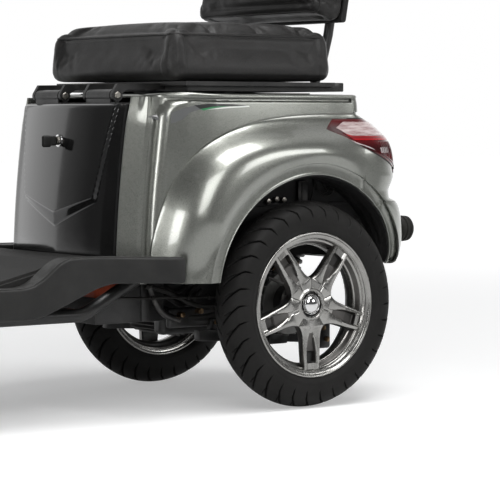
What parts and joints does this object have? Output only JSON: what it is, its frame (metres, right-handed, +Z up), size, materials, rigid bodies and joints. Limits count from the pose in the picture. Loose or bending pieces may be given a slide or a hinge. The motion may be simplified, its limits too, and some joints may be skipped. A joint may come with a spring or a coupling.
{
  "type": "electric three-wheel scooter",
  "caption": "Electric mobility scooter with one steered front wheel, a driven rear axle, a step-through floor, a tilting armchair seat and storage under it.",
  "frame": {"origin": "on the ground, below the middle of the vehicle's length and width", "axes": "+Z up, -Y to the front, +X to the rider's left; the wheels' axles along X"},
  "size_m": [0.74, 1.6722, 1.1525],
  "materials": {
    "frame_black": "satin black enamel",
    "body_silver": "metallic grey-green silver lacquer",
    "black_gloss": "polished black",
    "black_plastic": "grained black",
    "battery_orange": "orange-brown",
    "cast_metal": "dark casting",
    "spring_steel": "coil and damper",
    "fork_steel": "silver-grey enamel",
    "alloy": "polished casting",
    "tyre": "black road tyre",
    "rubber": "ribbed black rubber",
    "upholstery": "black leathercloth",
    "lamp_red": "dark red lens",
    "lamp_clear": "clear lens",
    "lamp_amber": "amber lens"
  },
  "bodies": {
    "chassis": {"steering_neck": "frame_black", "frame_rail_left": "frame_black", "frame_rail_right": "frame_black", "frame_cross_members": "frame_black", "seat_posts": "frame_black", "battery_box": "battery_orange", "motor": "cast_metal", "rear_axle": "frame_black", "brake_backplates": "cast_metal", "rear_shocks": "spring_steel", "side_panel_left": "body_silver", "side_panel_right": "body_silver", "arch_trim_left": "body_silver", "arch_trim_right": "body_silver", "arch_liner_left": "black_plastic", "arch_liner_right": "black_plastic", "body_deck": "body_silver", "storage_tub": "black_plastic", "rear_panel": "body_silver", "rear_bumper": "body_silver", "front_panel": "black_gloss", "charge_socket": "black_plastic", "tail_lamp_left": "lamp_red", "tail_lamp_right": "lamp_red", "rear_indicator_left": "lamp_clear", "rear_indicator_right": "lamp_clear", "rear_buffers": "rubber", "floor_board": "black_plastic", "floor_mat": "rubber", "floor_trim_left": "black_plastic", "floor_trim_right": "black_plastic", "seat_hinge_base": "frame_black", "leg_shield": "black_plastic", "front_fairing": "body_silver", "headlamp": "lamp_clear", "front_indicators": "lamp_amber"},
    "steering": {"fork": "fork_steel", "front_fender": "body_silver", "handlebar": "frame_black", "bar_cover": "black_gloss", "grips": "rubber", "brake_levers": "alloy", "mirror_left": "black_plastic", "mirror_right": "black_plastic"},
    "front_wheel": {"front_tyre": "tyre", "front_rim": "alloy"},
    "rear_wheel_left": {"rear_tyre_left": "tyre", "rear_rim_left": "alloy"},
    "rear_wheel_right": {"rear_tyre_right": "tyre", "rear_rim_right": "alloy"},
    "seat": {"seat_base": "frame_black", "seat_cushion": "upholstery", "seat_back": "upholstery", "seat_back_frame": "frame_black"},
    "armrest_left": {"armrest_left": "upholstery"},
    "armrest_right": {"armrest_right": "upholstery"}
  },
  "joints": [
    {"name": "steering_turn", "type": "hinge", "parent": "chassis", "child": "steering", "pos_m": [0, -0.43026, 0.55618], "axis": [0, 0.4067, 0.9135], "range_deg": [-38, 38]},
    {"name": "front_wheel_spin", "type": "hinge", "parent": "steering", "child": "front_wheel", "pos_m": [0, -0.62493, 0.205], "axis": [1, 0, 0], "continuous": true},
    {"name": "rear_wheel_left_spin", "type": "hinge", "parent": "chassis", "child": "rear_wheel_left", "pos_m": [0.267, 0.50507, 0.205], "axis": [1, 0, 0], "continuous": true},
    {"name": "rear_wheel_right_spin", "type": "hinge", "parent": "chassis", "child": "rear_wheel_right", "pos_m": [-0.267, 0.50507, 0.205], "axis": [1, 0, 0], "continuous": true},
    {"name": "seat_tilt", "type": "hinge", "parent": "chassis", "child": "seat", "pos_m": [0, 0.14307, 0.617], "axis": [1, 0, 0], "range_deg": [0, 60]},
    {"name": "armrest_left_lift", "type": "hinge", "parent": "seat", "child": "armrest_left", "pos_m": [0.267, 0.68307, 0.868], "axis": [-1, 0, 0], "range_deg": [0, 90]},
    {"name": "armrest_right_lift", "type": "hinge", "parent": "seat", "child": "armrest_right", "pos_m": [-0.267, 0.68307, 0.868], "axis": [-1, 0, 0], "range_deg": [0, 90]}
  ]
}
